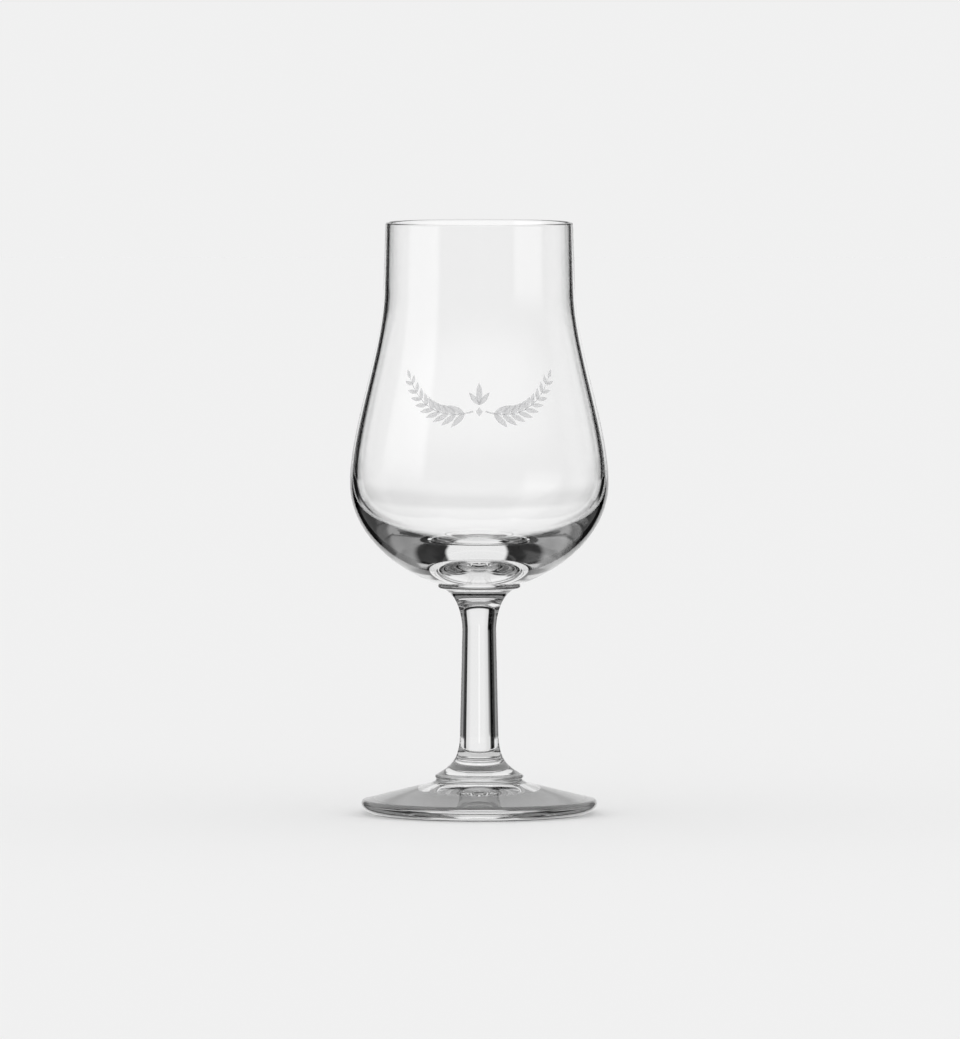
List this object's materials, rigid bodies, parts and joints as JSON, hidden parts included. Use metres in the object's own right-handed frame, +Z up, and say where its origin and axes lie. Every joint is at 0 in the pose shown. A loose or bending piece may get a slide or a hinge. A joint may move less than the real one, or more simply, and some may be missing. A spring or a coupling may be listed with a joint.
{
  "type": "whisky glass",
  "caption": "Clear stemmed whisky glass with a tulip bowl that narrows to a straight neck, on a slim stem and a round foot.",
  "frame": {"origin": "centre of the ring that the foot stands on, on the table", "axes": "+Z up along the axis of the glass"},
  "size_m": [0.0678, 0.0678, 0.155],
  "materials": {
    "clear_glass": "clear, fire-polished"
  },
  "bodies": {
    "root": {"bowl": "clear_glass", "stem": "clear_glass", "foot": "clear_glass"}
  },
  "joints": []
}
